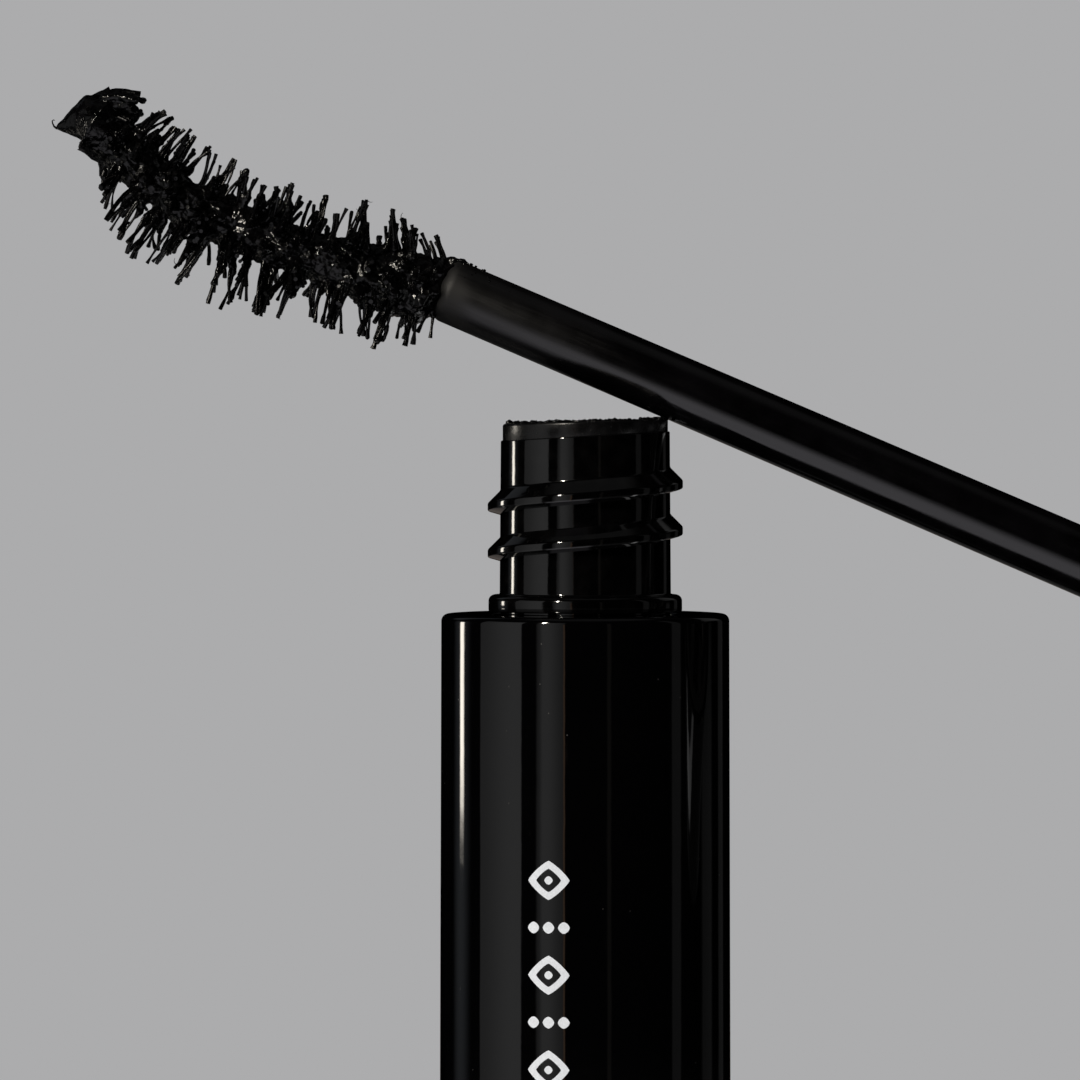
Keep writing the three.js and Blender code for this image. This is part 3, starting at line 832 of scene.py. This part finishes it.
def clump(distance, angle, rng):
    """A few bristles stuck together: rods for the row, and the paste between them for the coat."""
    upper = math.cos(angle)
    count = rng.choice((2, 2, 3, 3, 4)) if upper > 0 else rng.choice((2, 3, 3, 4, 5))
    closes = rng.random() < (0.6 if upper > 0 else 0.4)
    root_spread, tip_spread = (0.42, 0.12) if closes else (0.16, 0.5)
    by_stem = max(0, 1 - distance / 7) * max(0, upper)
    by_tip = max(0, distance - 19) * max(0, -upper)
    lean = rng.gauss(0, 0.3) + 1.2 * by_stem - 0.45 * by_tip
    twist = rng.gauss(0, 0.1)
    reach = bristle_reach(distance, angle) * rng.uniform(0.88, 1.06) * (1 - 0.12 * by_tip)
    rods, pastes = [], []
    for _ in range(count):
        start = distance + rng.uniform(-1, 1) * root_spread
        turn = rng.uniform(-1, 1) * root_spread / 2.2
        tip_turn = twist + rng.uniform(-1, 1) * tip_spread / reach
        tip_lean = lean + rng.uniform(-1, 1) * tip_spread + (distance - start)
        length = reach * rng.uniform(0.88, 1.03)
        bow = rng.gauss(0, 0.13)
        path, radii = [], []
        thickness = rng.uniform(0.07, 0.115)
        seed = rng.uniform(0, 90)
        steps = 11
        for i in range(steps):
            share = i / (steps - 1)
            bend = math.sin(share * math.pi) * bow
            radius = 0.9 + (length - 0.9) * share
            path.append(brush_point(start, angle + turn + (tip_turn - turn) * share + bend * 0.3,
                                    radius, tip_lean * share**1.3 + bend))
            knob = 1 + 0.5 * noise.noise(Vector((share * 5, seed, 0)))
            radii.append(thickness * knob * (1.12 if i == steps - 1 else 1))
        radii[-2] *= 1.25
        radii[-1] *= 1.3
        rods.append(rod(path, radii, 7))
        coated = rng.randint(3, 8)
        swell = rng.uniform(0.6, 1.25)
        pastes.append(rod(path[:coated], [0.3 * swell * (1 - i / coated) + 0.08 for i in range(coated)], 6))
    if closes and rng.random() < 0.5:
        pastes.append(rod(path[-5:], [0.1, 0.13, 0.15, 0.15, 0.12], 6))
    return rods, pastes, path[-1]


def tip_tuft(rng, layer):
    """The last upper bristles, folded back towards the stem and matted into stubs: one layer to a row."""
    rods, pastes = [], []
    for _ in range(9):
        height = 0.9 + 0.8 * layer + 0.25 * rng.uniform(-1, 1)
        aside = rng.uniform(-1.7, 1.7)
        start = Vector((height * 0.75 + 0.2, aside * 0.7, 24.1 - 0.3 * rng.random()))
        end = Vector((height + 0.4 - 0.1 * aside * aside, aside, 21.95 + rng.uniform(-0.35, 0.35)))
        middle = (start + end) / 2 + Vector((0.22, 0, 0))
        thick = rng.uniform(0.13, 0.2)
        path = [start, (start + middle) / 2 + Vector((0.06, 0, 0)), middle, (middle + end) / 2, end]
        rods.append(rod(path, [thick, thick * 0.9, thick * 0.8, thick, thick * 1.15], 7))
        pastes.append(rod(path, [0.3, 0.3, 0.24, 0.2, 0.2], 6))
    return rods, pastes


def tip_paste():
    """The paste at the tip: a webbed cone that runs out to a point, and the web that holds the tuft."""
    axis = [(0, 0, 21.4), (0.2, 0, 22.2), (0.55, 0, 23), (1.0, 0, 23.8), (0.85, 0, 24.4), (0.4, 0, 25),
            (0.05, 0, 25.45), (-0.28, 0, 25.95)]
    cone = rod(axis, [1.3, 1.5, 1.8, 2.1, 1.6, 0.95, 0.5, 0.14], 24)
    crest = [(2.3, 0, 23.3), (2.95, 0.1, 23.85), (2.0, 0, 24.5), (0.9, 0, 25.05)]
    ridge = rod(crest, [0.35, 0.5, 0.45, 0.3], 10)
    return [cone, ridge]


def tip_curl():
    """The thread of paste at the very end, drawn out and curled back."""
    curl = [(-0.2, 0, 25.7), (-0.3, 0, 25.95), (-0.27, 0.02, 26.12), (-0.13, 0.04, 26.28), (0.0, 0.05, 26.37),
            (0.09, 0.03, 26.32), (0.11, 0, 26.22)]
    return rod(curl, [0.12, 0.09, 0.06, 0.045, 0.04, 0.035, 0.02], 10)


def stem_smear(rng):
    """Paste pushed up on the stem's end: a lump on its upper corner, and a bumpy smear behind it."""
    shapes = [
        rod([(1.0, 0, 0.5), (1.75, 0, -0.25), (1.8, 0.1, -0.75)], [0.55, 0.42, 0.2], 10),
        rod([(0.9, -0.9, 0.4), (1.5, -0.9, -0.3)], [0.4, 0.2], 8),
        rod([(0.9, 0.9, 0.4), (1.5, 0.95, -0.3)], [0.4, 0.2], 8),
        rod([(0, 0, 0.7), (0, 0, -0.15)], [1.9, 1.35], 20),
    ]
    for _ in range(46):
        back = rng.uniform(0, 1)**1.5 * 4.2
        angle = rng.gauss(0, 0.5)
        radius = STEM_BRUSH_R - 0.02
        at = (radius * math.cos(angle), radius * math.sin(angle), -0.5 - back)
        shapes.append(lump(at, rng.uniform(0.06, 0.17) * (1 - 0.12 * back), rng, 0.9))
    return shapes


def stray_hair(start, rng):
    """A very fine curled thread of paste, drawn out of a bristle's end."""
    size = rng.uniform(0.12, 0.32)
    turn = rng.choice((-1, 1)) * rng.uniform(1.2, 2.8)
    heading = rng.uniform(0, TAU)
    path = []
    for i in range(9):
        swing = turn * i / 8
        out, over = size * math.sin(abs(swing)), size * (1 - math.cos(swing)) * math.copysign(1, turn)
        path.append(start + Vector((out * math.cos(heading) - over * math.sin(heading), 0.1 * size * i / 8,
                                    out * math.sin(heading) + over * math.cos(heading))))
    return rod(path, [0.03 * (1 - 0.07 * i) for i in range(9)], 5)


def make_brush(bristle_finish, product_finish):
    """The bristle rows, and the paste that coats and joins them."""
    rng = random.Random(20)
    pastes = [paste_core(), *tip_paste(), *stem_smear(rng)]
    threads = [tip_curl()]
    clumps_per_row = 9
    hair_share = 0.12
    last_clump, last_upper_clump = 22.8, 23.6
    upper_spacing, lower_spacing = 1.05, 1.5
    for row in range(BRISTLE_ROWS):
        rods = []
        for i in range(clumps_per_row):
            step = (LAST_ROW_AT - FIRST_ROW_AT) / (BRISTLE_ROWS - 1)
            distance = FIRST_ROW_AT + step * (row + rng.uniform(-0.5, 0.5))
            angle = TAU * (i + rng.uniform(-0.45, 0.45)) / clumps_per_row + row * 0.9
            spacing = upper_spacing if math.cos(angle) > 0 else lower_spacing
            distance = spacing * (round(distance / spacing) + rng.gauss(0, 0.16))
            if distance > (last_upper_clump if math.cos(angle) > 0.2 else last_clump):
                continue
            more_rods, more_pastes, end = clump(distance, angle, rng)
            rods += more_rods
            pastes += more_pastes
            if rng.random() < hair_share:
                threads.append(stray_hair(end, rng))
        if row >= BRISTLE_ROWS - 3:
            more_rods, more_pastes = tip_tuft(rng, row - BRISTLE_ROWS + 4)
            rods += more_rods
            pastes += more_pastes
        name = f"{row + 1:02d}"
        piece = placed("bristles_" + name, joined(rods), WAND_PLACE, 60)
        fitted(piece, "wand", "bristle_nylon", bristle_finish, "bristle_row_" + name)
    voxel = 0.085
    coat = remeshed("product_coat", joined(pastes), voxel, 4)
    roughened(coat, ((1.1, 0.2), (2.6, 0.1), (6, 0.04)))
    coat.transform(WAND_PLACE)
    fitted(finished("product_coat", coat, 80), "wand", "mascara_product", product_finish, "tip_drop")
    drawn_out = placed("product_threads", joined(threads), WAND_PLACE, 60)
    fitted(drawn_out, "wand", "mascara_product", product_finish)


# ---------------------------------------------------------------- studio


def make_camera():
    camera = bpy.data.cameras.new("camera")
    camera.lens = LENS
    camera.sensor_width = SENSOR
    camera.clip_start = 0.01
    camera.clip_end = 50
    holder = bpy.data.objects.new("camera", camera)
    bpy.context.scene.collection.objects.link(holder)
    back = Vector((0, -math.cos(ELEVATION), math.sin(ELEVATION)))
    holder.location = VIEW_CENTRE + back * (VIEW_WIDTH * LENS / SENSOR)
    holder.rotation_euler = (-back).to_track_quat("-Z", "Y").to_euler()
    bpy.context.scene.camera = holder


# Studio panels: azimuth from the front (+ to the right) from and to, the softness of those two edges,
# elevation from and to, the softness of those, radiance, colour
WARM = (1, 0.93, 0.82)
COOL = (0.86, 0.92, 1)
PLAIN = (1, 1, 1)
AMBER = (1, 0.55, 0.28)
RUST = (1, 0.72, 0.55)
VIOLET = (0.96, 0.93, 1)
PANELS = (
    (-119.2, -113.8, 2.6, 2.6, -2.6, 7, 1.9, 3, 12, WARM),
    (-125, -109, 14, 14, -10, 14, 12, 12, 0.15, COOL),
    (-92.5, -52.5, 1.5, 1.5, -25, 30, 8, 8, 0.22, PLAIN),
    (-76, -52.5, 38, 1.5, -25, 30, 8, 8, 0.27, PLAIN),
    (-39.4, -17, 3, 3, -25, 30, 8, 8, 0.21, PLAIN),
    (-36, -24, 4, 15, -25, 30, 8, 8, 0.23, PLAIN),
    (-17.6, -16.4, 0.5, 0.5, -25, 8, 8, 8, 0.45, AMBER),
    (-36.7, -34.7, 0.5, 0.5, 23, 35, 1.5, 1.5, 400, WARM),
    (16.9, 20.1, 1.4, 1.4, -25, 20, 8, 8, 0.06, WARM),
    (72.5, 81.5, 2, 2, -25, 45, 8, 8, 0.085, PLAIN),
    (106, 120, 4, 4, -20, 0, 6, 6, 0.05, PLAIN),
    (132, 142, 3, 3, -20, 45, 8, 8, 0.035, PLAIN),
    (170, 190, 6, 6, -25, -6, 5, 3, 0.06, RUST),
    (-165, -128, 12, 12, 20, 60, 12, 20, 0.12, COOL),
    (112, 140, 10, 10, 14, 40, 10, 14, 0.12, PLAIN),
    (-48, 8, 6, 10, -58, -20, 3, 24, 0.95, VIOLET),
    (-200, 200, 1, 1, -60, -9, 6, 6, 0.07, PLAIN),
    (-118, -114, 2, 2, -55, -14, 3, 6, 2.5, WARM),
    (61, 67, 2, 2, -55, -14, 3, 6, 2.5, PLAIN),
    (147, 153, 2, 2, -55, -14, 3, 6, 2.5, PLAIN),
    (-200, 200, 1, 1, 62, 100, 14, 14, 0.07, PLAIN),
)


def make_world():
    """Soft studio light: a plain grey backdrop, and dark surroundings with panels for gloss to reflect."""
    world = bpy.data.worlds.new("studio")
    bpy.context.scene.world = world
    world.use_nodes = True
    tree = world.node_tree
    tree.nodes.clear()

    def math_node(operation, *values):
        node = tree.nodes.new("ShaderNodeMath")
        node.operation = operation
        for socket, value in zip(node.inputs, values):
            if isinstance(value, (int, float)):
                socket.default_value = value
            else:
                tree.links.new(value, socket)
        return node.outputs["Value"]

    def window(value, start, end):
        node = tree.nodes.new("ShaderNodeMapRange")
        node.interpolation_type = "SMOOTHSTEP"
        node.inputs["From Min"].default_value = start
        node.inputs["From Max"].default_value = end
        tree.links.new(value, node.inputs["Value"])
        return node.outputs["Result"]

    direction = tree.nodes.new("ShaderNodeTexCoord").outputs["Generated"]
    parts = tree.nodes.new("ShaderNodeSeparateXYZ")
    tree.links.new(direction, parts.inputs["Vector"])
    x, y, z = parts.outputs
    signed = math_node("DEGREES", math_node("ARCTAN2", x, math_node("MULTIPLY", y, -1)))
    seam = -145  # the azimuth runs from here round to here again, so a panel's part below it isn't lit
    azimuth = math_node("WRAP", signed, seam + 360, seam)
    elevation = math_node("DEGREES", math_node("ARCSINE", z))

    total = None
    for left, right, soft_left, soft_right, low, high, soft_low, soft_high, radiance, tint in PANELS:
        amount = None
        for value, edge, soft in (
            (azimuth, left, soft_left), (azimuth, right, -soft_right),
            (elevation, low, soft_low), (elevation, high, -soft_high),
        ):
            inside = window(value, edge - soft / 2, edge + soft / 2)
            amount = inside if amount is None else math_node("MULTIPLY", amount, inside)
        light = tree.nodes.new("ShaderNodeVectorMath")
        light.operation = "SCALE"
        light.inputs["Vector"].default_value = [radiance * channel for channel in tint]
        tree.links.new(amount, light.inputs["Scale"])
        if total is None:
            total = light.outputs["Vector"]
            continue
        added = tree.nodes.new("ShaderNodeVectorMath")
        added.operation = "ADD"
        tree.links.new(total, added.inputs[0])
        tree.links.new(light.outputs["Vector"], added.inputs[1])
        total = added.outputs["Vector"]

    path = tree.nodes.new("ShaderNodeLightPath").outputs
    fill = tree.nodes.new("ShaderNodeVectorMath")
    fill.operation = "MULTIPLY_ADD"
    fill.inputs[1].default_value = (SOFT_FILL, SOFT_FILL, SOFT_FILL)
    tree.links.new(path["Is Diffuse Ray"], fill.inputs[0])
    tree.links.new(total, fill.inputs[2])
    studio = tree.nodes.new("ShaderNodeBackground")
    tree.links.new(fill.outputs["Vector"], studio.inputs["Color"])
    backdrop = tree.nodes.new("ShaderNodeBackground")
    backdrop.inputs["Color"].default_value = (*GREY_BACKDROP, 1)
    mix = tree.nodes.new("ShaderNodeMixShader")
    tree.links.new(path["Is Camera Ray"], mix.inputs["Fac"])
    tree.links.new(studio.outputs["Background"], mix.inputs[1])
    tree.links.new(backdrop.outputs["Background"], mix.inputs[2])
    output = tree.nodes.new("ShaderNodeOutputWorld")
    tree.links.new(mix.outputs["Shader"], output.inputs["Surface"])
    world.cycles.sampling_method = "MANUAL"
    world.cycles.sample_map_resolution = 2048


def make_floor():
    """A plain pale floor that fades into the backdrop."""
    below_foot = -0.02
    points, faces = spun([(0, below_foot), (FLOOR_R, below_foot)], 96)
    faces = [face for face in faces if len(set(face)) == 3]
    mesh = bpy.data.meshes.new("floor")
    mesh.from_pydata([(x * MM, y * MM, z * MM) for x, y, z in points], [], faces)
    floor = bpy.data.objects.new("floor", mesh)
    bpy.context.scene.collection.objects.link(floor)
    finish = Finish("floor_paper", roughness=0.9, specular_ior_level=0.1)
    grain = finish.noise(0.4, 5)
    finish.colour(grain, (0.3, (0.681, 0.72, 0.785)), (0.7, (0.717, 0.756, 0.825)))
    tree = finish.tree
    length = tree.nodes.new("ShaderNodeVectorMath")
    length.operation = "LENGTH"
    tree.links.new(finish.place, length.inputs[0])
    fade = finish.between(length.outputs["Value"], 0.5 * FLOOR_R * MM, 0.95 * FLOOR_R * MM, 0, 1)
    clear = tree.nodes.new("ShaderNodeBsdfTransparent")
    mix = tree.nodes.new("ShaderNodeMixShader")
    tree.links.new(fade, mix.inputs["Fac"])
    tree.links.new(finish.shader.outputs["BSDF"], mix.inputs[1])
    tree.links.new(clear.outputs["BSDF"], mix.inputs[2])
    tree.links.new(mix.outputs["Shader"], tree.nodes["Material Output"].inputs["Surface"])
    floor.data.materials.append(finish.material)
    floor.visible_glossy = False  # the gloss reflects the panels below the horizon instead


def refinish(node, material, sharp_degrees=30):
    """A CAD node that stays, with a better material and smooth shading."""
    piece = frame["nodes"][node]
    piece.data.materials.clear()
    piece.data.materials.append(material)
    piece.data.shade_smooth()
    piece.data.set_sharp_from_angle(angle=math.radians(sharp_degrees))


make_camera()
make_world()
make_floor()
bpy.context.scene.view_settings.view_transform = "Standard"

shell_finish = gloss_shell()
neck_finish = gloss_neck()
wiper_finish = soft_wiper()
stem_finish = satin_stem()
liner_finish = moulded_plastic()
product_finish = wet_product()
bristle_finish = coated_nylon()
ink_finish = white_ink()

sleeve = placed("sleeve", outer_sleeve(), TUBE_PLACE)
fitted(sleeve, "tube", "shell_gloss_black", shell_finish, "outer_sleeve")
fitted(placed("bottle", inner_bottle(), TUBE_PLACE), "tube", "neck_gloss_black", neck_finish, "inner_bottle")
fitted(placed("wiper_insert", wiper(), TUBE_PLACE), "tube", "wiper_soft_black", wiper_finish, "wiper")
fitted(placed("foot_plug", base_plug(), TUBE_PLACE), "tube", "shell_gloss_black", shell_finish, "base_plug")
fitted(placed("rim_residue", rim_residue(), TUBE_PLACE, 80), "tube", "mascara_product", product_finish)
fitted(placed("print_marks", print_marks(), TUBE_PLACE), "tube", "print_white", ink_finish)
fitted(placed("cap", cap_shell(), WAND_PLACE), "wand", "shell_gloss_black", shell_finish, "cap_shell")
fitted(placed("liner", cap_liner(), WAND_PLACE), "wand", "liner_plastic", liner_finish, "cap_liner")
fitted(placed("rod", stem(), WAND_PLACE), "wand", "stem_satin_black", stem_finish, "stem")
make_brush(bristle_finish, product_finish)

refinish("base_weight", bright_steel("turned_steel", (1, 1, 0.1), 0.3, 0.45))
refinish("wire_core", bright_steel("wire_steel", (1, 1, 0.2), 0.22, 0.35), 60)
refinish("seal_washer", white_foam())
refinish("mascara_fill", product_finish, 40)
